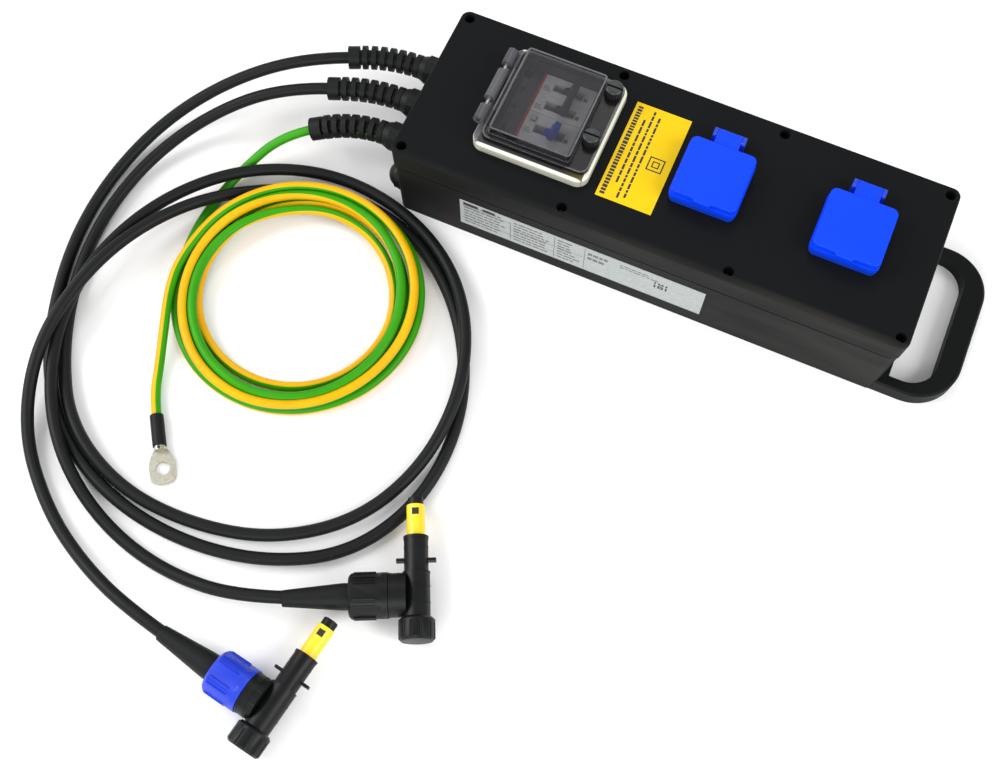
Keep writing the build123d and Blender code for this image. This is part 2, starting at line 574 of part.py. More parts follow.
def make_gland(number, route, diameter):
    y = GLAND_Y[number - 1]
    cord_r = diameter / 2
    hexagon = extrude(Plane((PAD_FACE_X, y, GLAND_Z), z_dir=(-1, 0, 0)) * RegularPolygon(
        NUT_AF / 2, 8, major_radius=False), PAD_FACE_X - GLAND_FLANGE_X)
    body = hexagon + along_x(THREAD_R - 0.02, PAD_FACE_X, -187, y, GLAND_Z)
    body += along_x(8.6, GLAND_STUB_X, GLAND_FLANGE_X, y, GLAND_Z)
    body -= along_x(cord_r + 0.3, GLAND_STUB_X - 1, -186, y, GLAND_Z)
    body -= along_x(cord_r + 2.2, GLAND_STUB_X - 1, GLAND_FLANGE_X + 2, y, GLAND_Z)
    seal = along_x(cord_r + 2.2, GLAND_STUB_X, GLAND_FLANGE_X + 2, y, GLAND_Z)
    seal -= along_x(cord_r + 0.02, GLAND_STUB_X - 1, GLAND_FLANGE_X + 3, y, GLAND_Z)
    nut = extrude(Plane((GLAND_FLANGE_X - 0.2, y, GLAND_Z), z_dir=(-1, 0, 0)) * RegularPolygon(
        NUT_AF / 2, 8, major_radius=False), 11)
    end = Plane((GLAND_FLANGE_X - 11.2, y, GLAND_Z), z_dir=(-1, 0, 0))
    nut += loft([end * Circle(NUT_AF / 2), end.offset(GLAND_FLANGE_X - 11.2 - NUT_END_X) * Circle(8.2)])
    nut -= along_x(8.65, GLAND_STUB_X - 0.2, GLAND_FLANGE_X, y, GLAND_Z)
    path = first_bend(route, SPIRAL_START_X, SPIRAL_SHARE[number - 1])
    core = tube_along(path, cord_r + 1.3)
    step = (1 - SPIRAL_CAP / path.length) / (SPIRAL_TURNS + 0.5)
    rings = []
    for turn in range(SPIRAL_TURNS):
        at = path.location_at(step * (turn + 0.9))
        rings.append(at * extrude(Circle(SPIRAL_R), path.length * step * 0.28, both=True))
    cap_start = path.location_at(1 - SPIRAL_CAP / path.length)
    rings.append(cap_start * extrude(Circle(SPIRAL_R - 0.3), SPIRAL_CAP))
    bore = tube_along(first_bend(route, GLAND_FLANGE_X, SPIRAL_SHARE[number - 1] + 0.04), cord_r + CORD_GAP)
    save(f"gland_{number}_spiral_nut", nut + core + rings - bore)
    return body, seal


def make_glands():
    bodies = []
    seals = []
    nuts = []
    routes = (CABLE_1_ROUTE, CABLE_2_ROUTE, LEAD_IN_ROUTE)
    for number, (route, diameter) in enumerate(zip(routes, (CABLE_D, CABLE_D, LEAD_D)), start=1):
        body, seal = make_gland(number, route, diameter)
        bodies.append(body)
        seals.append(seal)
        nuts.append(locknut(GLAND_Y[number - 1], GLAND_Z))
    nuts.append(locknut(PLUG_Y, PLUG_Z))
    save("gland_bodies", Compound(children=bodies))
    save("gland_seals", Compound(children=seals))
    save("gland_locknuts", Compound(children=nuts))
    plug = along_x(PLUG_R, PLUG_FACE_X - 3.5, PLUG_FACE_X, PLUG_Y, PLUG_Z)
    plug += along_x(THREAD_R - 0.02, PLUG_FACE_X, -188, PLUG_Y, PLUG_Z)
    radius = (8 ** 2 + 10.5 ** 2) / (2 * 8)
    ball = Pos(PLUG_FACE_X - 3.5 - 8 + radius, PLUG_Y, PLUG_Z) * Sphere(radius)
    plug += ball & along_x(PLUG_R, PLUG_FACE_X - 14, PLUG_FACE_X - 3, PLUG_Y, PLUG_Z)
    save("blanking_plug", plug)


def locknut(y, z):
    outline = Plane((PAD_BACK_X, y, z), z_dir=(1, 0, 0)) * RegularPolygon(11, 6)
    return extrude(outline, 4.5) - along_x(THREAD_R, PAD_BACK_X - 1, PAD_BACK_X + 6, y, z)


def make_coil():
    """The lead's loose coil: one closed ring of its outer shape, lying askew over cable 1."""
    middle_r = (COIL_OUT_R + COIL_IN_R) / 2
    section = Plane.XZ * Pos(middle_r, 0) * RectangleRounded(COIL_OUT_R - COIL_IN_R, COIL_H, 5)
    ring = Rot(COIL_TILT, 0, 0) * revolve(section, Axis.Z)
    save("earth_coil", Pos(*COIL_C, COIL_FLOOR - ring.bounding_box().min.Z) * ring)


def make_lug():
    end = Vector(*LEAD_OUT_ROUTE[-1])
    along = (end - Vector(*LEAD_OUT_ROUTE[-2])).normalized()
    frame = Plane(origin=(end.X, end.Y, 0), x_dir=along, z_dir=(0, 0, 1))
    sleeve = along_x(SLEEVE_R, 0, SLEEVE_LEN, 0, LUG_AXIS_Z)
    sleeve -= along_x(BARREL_R, 4, SLEEVE_LEN + 1, 0, LUG_AXIS_Z)
    save("lug_sleeve", frame.location * sleeve)
    low = LUG_AXIS_Z - BARREL_R
    barrel = along_x(BARREL_R, 4, SLEEVE_LEN + 3, 0, LUG_AXIS_Z)
    start = SLEEVE_LEN + 1
    half = PALM_W / 2
    outline = make_face([
        Line((start, -4), (start, 4)),
        ThreePointArc((start, 4), (start + 6.0, 7.9), (start + 14, half)),
        Polyline((start + 14, half), (start + PALM_LEN - 2, half - 0.8), (start + PALM_LEN, half - 3)),
        ThreePointArc((start + PALM_LEN, half - 3), (start + PALM_LEN + 1.2, 0), (start + PALM_LEN, 3 - half)),
        Polyline((start + PALM_LEN, 3 - half), (start + PALM_LEN - 2, 0.8 - half), (start + 14, -half)),
        ThreePointArc((start + 14, -half), (start + 6.0, -7.9), (start, -4))])
    palm = Pos(0, 0, low) * extrude(outline, PALM_T)
    lug = barrel + palm - upright(LUG_HOLE_R, -1, 12, LUG_HOLE_FROM_START, 0)
    save("earth_lug", frame.location * lug)


# ---------------------------------------------------------------- T connectors
def make_connector(number):
    """Local frame: +X out along the boot, +Y towards the knob, origin at the T's centre."""
    cx, cy = TEE_C[number - 1]
    boot_dir = TEE_BOOT_DIR[number - 1]
    place = Plane(origin=(cx, cy, TEE_Z), x_dir=(*boot_dir, 0), z_dir=(0, 0, 1)).location

    body = along_y(TEE_R, -15.6, KNOB_Y[0] - 0.3) + along_y(TUBE_R, TUBE_Y, -15)
    wings = along_y(DISC_R, -25.3, -23.3) & block(-DISC_R, DISC_R, -30, -20, -WING_HALF_H, WING_HALF_H)
    body += wings + along_x(NECK_R, 7, NECK_END)
    body += along_x(SPIGOT_R, NECK_END - 1, 44.6)
    body += along_y(6.0, KNOB_Y[0] - 1, KNOB_Y[1] - 4)
    body -= along_x(CABLE_D / 2 + 0.3, 58, 70)
    save(f"connector_{number}_body", place * body)

    ring = along_x(RING_R, NECK_END + 0.3, RING_END) - along_x(SPIGOT_R + FIT, NECK_END, 45)
    ring -= along_x(BOOT_R + 0.3, 44, RING_END + 1)
    ring = chamfer(ring.edges().filter_by(GeomType.CIRCLE).group_by(Axis.X)[-1].sort_by(SortBy.RADIUS)[-1:], 2.0)
    flats = [Rot(turn, 0, 0) * block(24, 48, -7, 7, RING_R - 1.2, RING_R + 2) for turn in range(0, 360, 60)]
    save(f"connector_{number}_ring", place * (ring - flats))

    taper = make_face(Polyline((44.9, 0), (44.9, BOOT_R), (52, BOOT_R), (BOOT_END, BOOT_TIP_R), (BOOT_END, 0),
                               (44.9, 0)))
    boot = revolve(taper, Axis.X) - along_x(CABLE_D / 2 + 0.2, 63, BOOT_END + 1)

    knob = along_y(KNOB_R, *KNOB_Y)
    knob = chamfer(knob.edges().filter_by(GeomType.CIRCLE), 1.8)
    grips = []
    for step in range(12):
        groove = along_y(1.5, KNOB_Y[0] + 4, KNOB_Y[1] + 1, KNOB_R + 0.5, 0)
        grips.append(Rot(0, 30 * step + 15, 0) * groove)
    knob = knob - grips - along_y(6.0 + FIT, KNOB_Y[0] - 1, KNOB_Y[1] - 3.6)
    save(f"connector_{number}_knob", place * knob)

    sleeve = along_y(YELLOW_R, YELLOW_Y, TUBE_Y)
    tip = chamfer(along_y(TIP_R, TIP_Y, YELLOW_Y).edges().sort_by(Axis.Y)[:1], 0.6)
    return place * boot, place * sleeve, place * tip


# ---------------------------------------------------------------- inner wiring
WIRE_R = 1.9
LINE_WIRES = [
    [(-188, 33.5, 42), (-172, 33.5, 42), (-163, 31.9, 59), (-134.5, 31.9, 59)],
    [(-60.5, -7.5, 59), (-44, -7.5, 59), (-40, -24, 30), (-14, -34, 8), (108, -34, 8), (130, -4, 34), (130, -4, 56)]]
NEUTRAL_WIRES = [
    [(-188, 0, 42), (-174, 0, 42), (-163, 14.4, 59), (-134.5, 14.4, 59)],
    [(-60.5, 14.4, 59), (-44, 14.4, 59), (-40, 28, 30), (-14, 34, 8), (106, 34, 8), (140, 4, 34), (140, 4, 56)]]
EARTH_WIRES = [
    [(-188, -33.5, 42), (-176, -33.5, 42), (-160, -40, 28), (-160, -40, 12)],
    [(-150.2, -40, 8), (-132, -40, 8), (-110, -38, 8), (-50, -38, 8), (-4, -39, 8), (6, -29, 24),
     (28, 0, 38), (28, 0, 56)]]


def make_wire(name, routes):
    save(name, Compound(children=[tube_along(cord_path(route), WIRE_R) for route in routes]))


def make_earth_terminal():
    post = block(-164, -150.2, -46, -34, FLOOR, 12)
    stud = upright(2.4, 12, 22, -152.6, -40)
    save("earth_terminal", post + stud)


make_tray()
make_cover()
make_cover_gasket()
make_cover_fasteners()
make_labels()
make_handle()
make_rail()
make_devices()
make_window()
for socket_number, socket_x in enumerate(SOCKET_X, start=1):
    make_socket(socket_number, socket_x)
make_socket_small_parts()
make_glands()
make_cord("cable_1", CABLE_1_ROUTE, CABLE_D)
make_cord("cable_2", CABLE_2_ROUTE, CABLE_D)
make_cord("earth_lead_in", LEAD_IN_ROUTE, LEAD_D)
make_cord("earth_lead_out", LEAD_OUT_ROUTE, LEAD_D)
make_coil()
make_lug()
ends = [make_connector(number) for number in (1, 2)]
for place_in_list, name in enumerate(("connector_boots", "connector_sleeves", "connector_tips")):
    save(name, Compound(children=[end[place_in_list] for end in ends]))
make_wire("wire_line", LINE_WIRES)
make_wire("wire_neutral", NEUTRAL_WIRES)
make_wire("wire_earth", EARTH_WIRES)
make_earth_terminal()
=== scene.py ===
# %% [markdown]
# # A portable power distribution box
# A long black box holds two protection devices under a hinged window and two blue socket outlets.
# Two black cables end in T connectors, and a green and yellow earth lead lies in a loose coil.
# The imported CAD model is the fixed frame: its parts stay where they are, and this script gives
# them their finish, their soft edges and the small things that are too fine for the CAD.

# %% Load the frame
import json
import math
import random

import bmesh
import bpy
from mathutils import Matrix, Vector


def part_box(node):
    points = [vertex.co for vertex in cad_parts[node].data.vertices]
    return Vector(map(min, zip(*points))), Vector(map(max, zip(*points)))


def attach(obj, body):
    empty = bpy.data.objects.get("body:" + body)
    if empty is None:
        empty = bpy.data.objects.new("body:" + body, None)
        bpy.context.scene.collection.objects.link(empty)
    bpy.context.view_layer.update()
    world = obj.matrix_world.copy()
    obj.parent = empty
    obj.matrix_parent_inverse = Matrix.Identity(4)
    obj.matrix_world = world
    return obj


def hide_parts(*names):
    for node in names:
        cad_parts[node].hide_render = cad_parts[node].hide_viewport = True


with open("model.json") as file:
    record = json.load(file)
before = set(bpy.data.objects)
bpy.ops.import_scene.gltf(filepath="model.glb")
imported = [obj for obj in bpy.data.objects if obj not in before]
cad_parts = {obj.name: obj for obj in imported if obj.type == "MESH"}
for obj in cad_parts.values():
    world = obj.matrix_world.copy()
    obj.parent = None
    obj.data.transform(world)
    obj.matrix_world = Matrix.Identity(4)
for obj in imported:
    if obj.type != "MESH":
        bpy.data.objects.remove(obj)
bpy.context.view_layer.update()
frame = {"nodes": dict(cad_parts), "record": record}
NODE_BODY = {node: body for body, nodes in frame["record"]["behaviour"]["bodies"].items()
             for node in nodes}
MM = 0.001
print("CAD nodes:", len(frame["nodes"]))

# %% [markdown]
# ## The camera
# A long lens looks steeply down from the near side, so the box runs away up to the left
# and the cords spread out over the floor in front of it.

# %% Camera
camera = bpy.data.objects.new("camera", bpy.data.cameras.new("camera"))
bpy.context.scene.collection.objects.link(camera)
camera.data.lens = 48.0
camera.data.sensor_width = 36.0
camera.data.clip_end = 20.0
RIGHT = Vector((0.91744, 0.39758, 0.01525))
UP = Vector((-0.37312, 0.84642, 0.37995))
BACK = Vector((0.13816, -0.35427, 0.92488))
EYE = Vector((0.07496, -0.52874, 0.93085))
camera.matrix_world = Matrix.Translation(EYE) @ Matrix((RIGHT, UP, BACK)).transposed().to_4x4()
bpy.context.scene.camera = camera
bpy.context.scene.view_settings.view_transform = "Standard"
print("camera at", tuple(round(v, 3) for v in EYE))

# %% [markdown]
# ## Shader sums as plain expressions
# A shader is a web of small nodes. Writing `1 - mask * 0.5` is easier to read than wiring three
# Math nodes by hand, so one class wraps a socket and lets Python's operators add the nodes.


# %% Shader helpers
class Value:
    """One number in a shader. Arithmetic on it adds Math nodes."""

    def __init__(self, tree, socket):
        self.tree = tree
        self.socket = socket

    def math(self, operation, *inputs, clamp=False):
        node = self.tree.nodes.new("ShaderNodeMath")
        node.operation = operation
        node.use_clamp = clamp
        for place, value in enumerate(inputs):
            connect(self.tree, value, node.inputs[place])
        return Value(self.tree, node.outputs[0])

    def __add__(self, other): return self.math("ADD", self, other)
    def __radd__(self, other): return self.math("ADD", other, self)
    def __sub__(self, other): return self.math("SUBTRACT", self, other)
    def __rsub__(self, other): return self.math("SUBTRACT", other, self)
    def __mul__(self, other): return self.math("MULTIPLY", self, other)
    def __rmul__(self, other): return self.math("MULTIPLY", other, self)
    def __mod__(self, other): return self.math("FLOORED_MODULO", self, other)
    def __abs__(self): return self.math("ABSOLUTE", self)

    def above(self, edge, soft):
        """0 below an edge and 1 above it, with a soft step between."""
        return self.math("DIVIDE", self - (edge - soft / 2), soft, clamp=True)


def connect(tree, value, socket):
    """Set a socket to a number or a colour, or link it to a value."""
    if isinstance(value, Value):
        tree.links.new(value.socket, socket)
    elif isinstance(value, bpy.types.NodeSocket):
        tree.links.new(value, socket)
    elif socket.type == "RGBA":
        socket.default_value = (*value[:3], 1.0)
    else:
        socket.default_value = value


class Finish:
    """A material made of a Principled shader and whatever feeds it."""

    def __init__(self, name, **constants):
        self.material = bpy.data.materials.new(name)
        self.material.use_nodes = True
        self.tree = self.material.node_tree
        self.shader = self.tree.nodes["Principled BSDF"]
        self.places = self.node("ShaderNodeTexCoord")
        for label, value in constants.items():
            self.feed(label.replace("_", " ").title().replace("Ior", "IOR"), value)

    def node(self, kind, settings=None, **inputs):
        made = self.tree.nodes.new(kind)
        for name, value in (settings or {}).items():
            setattr(made, name, value)
        for name, value in inputs.items():
            connect(self.tree, value, made.inputs[name.replace("_", " ")])
        return made

    def feed(self, label, value):
        connect(self.tree, value, self.shader.inputs[label])
        return self

    def axis(self, letter, source="Object"):
        split = self.node("ShaderNodeSeparateXYZ", Vector=self.places.outputs[source])
        return Value(self.tree, split.outputs[letter])

    def noise(self, scale, detail=3.0, stretch=(1, 1, 1), source="Object"):
        mapped = self.node("ShaderNodeMapping", Vector=self.places.outputs[source], Scale=stretch)
        made = self.node("ShaderNodeTexNoise", Vector=mapped.outputs["Vector"], Scale=scale,
                         Detail=detail)
        return Value(self.tree, made.outputs["Fac"])

    def blend(self, share, low, high):
        """A colour between two colours."""
        made = self.node("ShaderNodeMix", {"data_type": "RGBA"})
        connect(self.tree, share, made.inputs[0])
        connect(self.tree, low, made.inputs[6])
        connect(self.tree, high, made.inputs[7])
        return made.outputs[2]

    def bump(self, height, strength, distance):
        made = self.node("ShaderNodeBump", Height=height, Strength=strength, Distance=distance)
        return self.feed("Normal", made.outputs["Normal"])


# %% [markdown]
# ## The finishes
# Almost everything here is moulded plastic or rubber. Moulded plastic is never one flat colour: a
# fine grain breaks the shine, broad soft patches make it a little lighter or darker, and the gloss
# changes with them. Each finish is that same recipe with its own colours, grain and gloss.


# %% Moulded plastic and rubber
def moulded(name, dark, light, gloss, grain=0.0004, patch=18.0, depth=0.15, shine=0.5):
    """Plastic or rubber between two colours, with a fine grain and soft patches."""
    finish = Finish(name, specular_ior_level=shine)
    patches = finish.noise(patch, 4.0)
    speckle = finish.noise(0.35 / grain, 2.0)
    finish.feed("Base Color", finish.blend(patches * 0.7 + speckle * 0.3, dark, light))
    finish.feed("Roughness", gloss - 0.06 + patches * 0.12)
    finish.bump(speckle, depth, grain)
    return finish.material


NEAR_WALL = 0.0655                 # past this distance from the middle is the near wall


def walls():
    """The box's own plastic. Its near wall is scuffed, with painted light growing to one end."""
    finish = Finish("box_walls", specular_ior_level=0.1)
    x, y, z = (finish.axis(letter) for letter in "XYZ")
    speckle = finish.noise(900.0, 2.0)
    patches = finish.noise(16.0, 4.0)
    scuffs = finish.noise(26.0, 6.0, (0.35, 1.0, 2.2))
    near_wall = (0.0 - y).above(NEAR_WALL, 0.003)
    toward_handle = x.above(0.02, 0.42)
    # Real scuffs on the near wall, plus painted light: the lightening grows towards the handle end.
    scuffs_and_painted_light = near_wall * (0.25 + toward_handle) * scuffs.above(0.45, 0.35)
    plain = finish.blend(patches * 0.6 + speckle * 0.4, (0.0022, 0.0027, 0.003),
                         (0.0048, 0.0056, 0.0062))
    finish.feed("Base Color", finish.blend(scuffs_and_painted_light * 0.4, plain, (0.034, 0.032, 0.028)))
    finish.feed("Roughness", 0.5 + patches * 0.14)
    finish.bump(speckle, 0.2, 0.0003)
    return finish.material


BOX = walls()
HANDLE = moulded("handle_plastic", (0.002, 0.0026, 0.0026), (0.0042, 0.005, 0.005), 0.5,
                 shine=0.12)
BLUE = moulded("lid_blue", (0.0, 0.040, 0.74), (0.0, 0.052, 0.84), 0.5, patch=30.0, depth=0.1,
               shine=0.15)
DEEP_BLUE = moulded("socket_blue", (0.0, 0.03, 0.42), (0.0, 0.045, 0.56), 0.45, patch=30.0)
RING_BLUE = moulded("ring_blue", (0.0, 0.022, 0.42), (0.0, 0.034, 0.58), 0.4, patch=60.0)
DEVICE = moulded("device_grey", (0.50, 0.50, 0.52), (0.62, 0.62, 0.64), 0.45, patch=60.0,
                 depth=0.1)
RUBBER = moulded("black_rubber", (0.002, 0.0024, 0.0027), (0.005, 0.0057, 0.0063), 0.55,
                 grain=0.0006, depth=0.3, shine=0.22)
SATIN_BLACK = moulded("satin_black", (0.002, 0.0024, 0.0027), (0.0045, 0.005, 0.0057), 0.42,
                      patch=60.0, shine=0.22)
NUT_BLACK = moulded("nut_black", (0.010, 0.012, 0.014), (0.030, 0.034, 0.038), 0.3, patch=50.0)
TOGGLE_BLACK = moulded("toggle_black", (0.006, 0.007, 0.008), (0.02, 0.022, 0.024), 0.4,
                       patch=60.0)
TOGGLE_BLUE = moulded("toggle_blue", (0.0, 0.03, 0.30), (0.0, 0.05, 0.42), 0.4, patch=60.0)
BUTTON = moulded("button_grey", (0.30, 0.30, 0.31), (0.42, 0.42, 0.43), 0.4, patch=60.0)
SLEEVE_YELLOW = moulded("sleeve_yellow", (0.84, 0.56, 0.005), (0.92, 0.66, 0.02), 0.35,
                        patch=60.0, depth=0.08)
INK = moulded("ink", (0.006, 0.006, 0.007), (0.02, 0.02, 0.02), 0.5, patch=90.0)
GREY_INK = moulded("grey_ink", (0.05, 0.05, 0.055), (0.16, 0.16, 0.17), 0.5, patch=200.0)
RED = moulded("red_stripe", (0.36, 0.008, 0.012), (0.5, 0.014, 0.02), 0.4, patch=90.0)
GREEN = moulded("green_mark", (0.01, 0.10, 0.03), (0.02, 0.16, 0.05), 0.4, patch=90.0)
DARK_STRIP = moulded("dark_strip", (0.012, 0.017, 0.024), (0.03, 0.036, 0.045), 0.4, patch=90.0)
WIRE_BROWN = moulded("wire_brown", (0.10, 0.035, 0.012), (0.15, 0.05, 0.02), 0.4)
WIRE_BLUE = moulded("wire_blue", (0.0, 0.03, 0.30), (0.0, 0.05, 0.42), 0.4)
print("plastics made")


# %% [markdown]
# ## Metal and labels
# Brushed or stamped metal keeps its colour but its gloss varies in fine streaks. A printed label is
# a thin film: the yellow one is flat and bright, and the silver one is mottled grey foil.


# %% Metal
def metal(name, dark, light, gloss, stretch=(1, 1, 1), scale=300.0):
    finish = Finish(name, metallic=1.0)
    streaks = finish.noise(scale, 4.0, stretch)
    finish.feed("Base Color", finish.blend(streaks, dark, light))
    finish.feed("Roughness", gloss - 0.1 + streaks * 0.2)
    finish.bump(streaks, 0.12, 0.0002)
    return finish.material


def label(name, dark, light, scale):
    finish = Finish(name, specular_ior_level=0.15)
    mottle = finish.noise(scale, 5.0)
    finish.feed("Base Color", finish.blend(mottle, dark, light))
    finish.feed("Roughness", 0.35 + mottle * 0.15)
    finish.bump(mottle, 0.05, 0.0001)
    return finish.material


STEEL = metal("steel", (0.30, 0.30, 0.31), (0.55, 0.55, 0.56), 0.35)
BRASS = metal("brass", (0.45, 0.33, 0.14), (0.70, 0.55, 0.26), 0.3)
TINNED = metal("tinned_copper", (0.36, 0.35, 0.28), (0.66, 0.64, 0.54), 0.42, scale=500.0)
YELLOW_FILM = label("yellow_label", (0.70, 0.45, 0.0), (0.76, 0.51, 0.0), 120.0)
SILVER_FILM = label("silver_label", (0.27, 0.29, 0.29), (0.46, 0.49, 0.48), 420.0)

# %% [markdown]
# ## The smoked window
# The flap is clear plastic with a grey tint. A part-see-through surface is enough, because the flap
# has an outer and an inner skin and each one hides a share of what is behind it. Its knuckles are
# painted paler than the raised middle, a painted sheen of the light on their round backs, and its
# flat rim darker, and both hide more, so the tint and the share change across it. The cream frame
# carries a painted shadow where the flap's rim lies over it, and painted shade on its outer side.


# %% Smoked plastic
KNUCKLE_X = -0.1415                # the flap's hinge knuckles lie left of this
SKIRT_Z = 0.0970                   # the flap's flat rim lies below this
BARREL_X, BARREL_Z = -0.1412, 0.0925
FRAME_SIDE_Z = 0.0915              # the frame's outer side lies below this, painted in shade
OLIVE_X = -0.068                   # the painted shadow turns olive round this line
FLAP_SHADOW_MIDDLE = (-0.1005, 0.0021)
FLAP_SHADOW_HALF = (0.0424, 0.0433)     # the part of the frame that the flap's rim covers


def smoked():
    finish = Finish("smoked_plastic", specular_ior_level=0.18)
    x, z = finish.axis("X"), finish.axis("Z")
    haze = finish.noise(24.0, 3.0)
    # Painted sheen: the knuckles get a paler grey for the light on their round backs, and hide more.
    knuckle = 1.0 - x.above(KNUCKLE_X, 0.001)
    skirt = (1.0 - z.above(SKIRT_Z, 0.0006)) * (1.0 - knuckle)
    raised = finish.blend(skirt, (0.017, 0.015, 0.021), (0.009, 0.008, 0.007))
    finish.feed("Base Color", finish.blend(knuckle, raised, (0.10, 0.10, 0.11)))
    finish.feed("Roughness", 0.16 + haze * 0.12)
    finish.feed("Alpha", 0.28 + haze * 0.10 + knuckle * 0.36 + skirt * 0.36)
    return finish.material


def window_cream():
    """Cream, the flap's smoked hinge barrel, painted shade on the side and the flap rim's painted
    shadow.
    """
    finish = Finish("window_cream", specular_ior_level=0.5)
    x, y, z = (finish.axis(letter) for letter in "XYZ")
    patches = finish.noise(25.0, 4.0)
    cream = finish.blend(patches, (0.70, 0.70, 0.58), (0.82, 0.82, 0.71))
    barrel = (1.0 - x.above(BARREL_X, 0.0008)) * z.above(BARREL_Z, 0.0008)
    # Painted shade: the frame's outer side, below FRAME_SIDE_Z, is darkened.
    side = 1.0 - z.above(FRAME_SIDE_Z, 0.002)
    shaded = finish.blend(side * 0.75, cream, (0.36, 0.36, 0.29))
    # Painted shadow: where the flap's rim lies over the frame, dark on the left and olive to the right.
    across = 1.0 - abs(x - FLAP_SHADOW_MIDDLE[0]).above(FLAP_SHADOW_HALF[0], 0.0006)
    along = 1.0 - abs(y - FLAP_SHADOW_MIDDLE[1]).above(FLAP_SHADOW_HALF[1], 0.0006)
    olive = finish.blend(x.above(OLIVE_X, 0.012), (0.020, 0.018, 0.020), (0.070, 0.058, 0.010))
    flap_shadow = finish.blend(across * along, shaded, olive)
    finish.feed("Base Color", finish.blend(barrel, flap_shadow, (0.075, 0.076, 0.082)))
    finish.feed("Roughness", 0.38 + patches * 0.1)
    finish.bump(finish.noise(900.0, 2.0), 0.06, 0.0003)
    return finish.material


SMOKE = smoked()
CREAM = window_cream()
SMOKE_EDGE = moulded("smoked_edge", (0.010, 0.011, 0.014), (0.022, 0.023, 0.028), 0.25, patch=60.0)
print("window finish made")

# %% [markdown]
# ## The cords' jackets
# A cord's pattern has to follow it round its bends, so these two finishes read the cord's own UV
# map: U runs along the cord and V runs round it. The cables are plain satin black with faint
# drawing lines, and the earth lead is green with a yellow stripe over a good third of its girth.


# %% Jackets
def cable_jacket():
    finish = Finish("cable_jacket", specular_ior_level=0.22)
    lines = finish.noise(14.0, 3.0, (40.0, 1.0, 1.0), "UV")
    patches = finish.noise(22.0, 4.0)
    finish.feed("Base Color", finish.blend(patches, (0.002, 0.0024, 0.0028),
                                           (0.0048, 0.0055, 0.0062)))
    finish.feed("Roughness", 0.44 + patches * 0.14)
    finish.bump(lines, 0.12, 0.0003)
    return finish.material


STRIPE_HALF = 0.19                 # half of the yellow stripe, as a share of the girth


def earth_jacket():
    finish = Finish("earth_jacket", specular_ior_level=0.2)
    around = finish.axis("Y", "UV")
    patches = finish.noise(40.0, 4.0)
    from_middle = abs(around % 1.0 - 0.5)
    stripe = 1.0 - from_middle.above(STRIPE_HALF, 0.012)
    green = finish.blend(patches, (0.020, 0.22, 0.0), (0.035, 0.32, 0.0))
    yellow = finish.blend(patches, (0.62, 0.31, 0.0), (0.80, 0.45, 0.0))
    finish.feed("Base Color", finish.blend(stripe, green, yellow))
    finish.feed("Roughness", 0.36 + patches * 0.1)
    finish.bump(patches, 0.05, 0.0003)
    return finish.material


CABLE = cable_jacket()
EARTH = earth_jacket()
EARTH_WIRE = moulded("earth_wire", (0.035, 0.40, 0.0), (0.06, 0.52, 0.0), 0.4)

# %% [markdown]
# ## Every CAD part gets its finish
# A list from part name to finish is the clearest way to be sure that nothing is left bare.

# %% Finish of each CAD part
FINISHES = {
    BOX: ["tray", "cover"],
    HANDLE: ["carry_handle"],
    BLUE: ["socket_1_lid", "socket_2_lid"],
    DEEP_BLUE: ["socket_1_body", "socket_2_body", "socket_terminal_blocks"],
    RING_BLUE: ["connector_1_ring"],
    CREAM: ["window_frame"],
    SMOKE: ["window_flap"],
    DEVICE: ["breaker_poles", "rcd_module"],
    RUBBER: ["cover_gasket", "window_seal", "socket_1_lid_seal", "socket_2_lid_seal", "gland_seals",
             "connector_boots", "lug_sleeve", "gland_1_spiral_nut", "gland_2_spiral_nut",
             "gland_3_spiral_nut"],
    SATIN_BLACK: ["connector_1_body", "connector_2_body", "connector_2_ring", "connector_1_knob",
                  "connector_2_knob", "connector_tips", "blanking_plug"],
    NUT_BLACK: ["gland_bodies", "gland_locknuts"],
    TOGGLE_BLACK: ["breaker_toggles", "window_screw_1", "window_screw_2"],
    TOGGLE_BLUE: ["rcd_toggle"],
    BUTTON: ["test_button"],
    STEEL: ["cover_screws", "handle_bolts", "din_rail", "device_screws", "hinge_pins",
            "socket_lid_springs", "socket_screws"],
    BRASS: ["cover_inserts", "socket_contacts", "earth_terminal"],
    TINNED: ["earth_lug"],
    YELLOW_FILM: ["warning_label"],
    SILVER_FILM: ["rating_label"],
    SLEEVE_YELLOW: ["connector_sleeves"],
    CABLE: ["cable_1", "cable_2"],
    EARTH: ["earth_lead_in", "earth_lead_out", "earth_coil"],
    WIRE_BROWN: ["wire_line"],
    WIRE_BLUE: ["wire_neutral"],
    EARTH_WIRE: ["wire_earth"],
}
NODE_FINISH = {node: finish for finish, nodes in FINISHES.items() for node in nodes}
for node, thing in frame["nodes"].items():
    thing.data.materials.clear()
    thing.data.materials.append(NODE_FINISH[node])
print("parts with a finish:", len(NODE_FINISH))


# %% [markdown]
# ## Adding a piece
# Each new piece is a bmesh turned into an object at the origin. It rides on the body of the CAD
# part it belongs to, and it is given its finish.


# %% Helpers for new pieces
def add_piece(name, bm, finish, body, smooth=35.0):
    """Make a bmesh an object that rides on a body. Edges sharper than the angle stay crisp."""
    mesh = bpy.data.meshes.new(name)
    bm.to_mesh(mesh)
    bm.free()
    mesh.polygons.foreach_set("use_smooth", [True] * len(mesh.polygons))
    mesh.set_sharp_from_angle(angle=math.radians(smooth))
    mesh.materials.append(finish)
    piece = bpy.data.objects.new(name, mesh)
    bpy.context.scene.collection.objects.link(piece)
    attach(piece, body)
    return piece


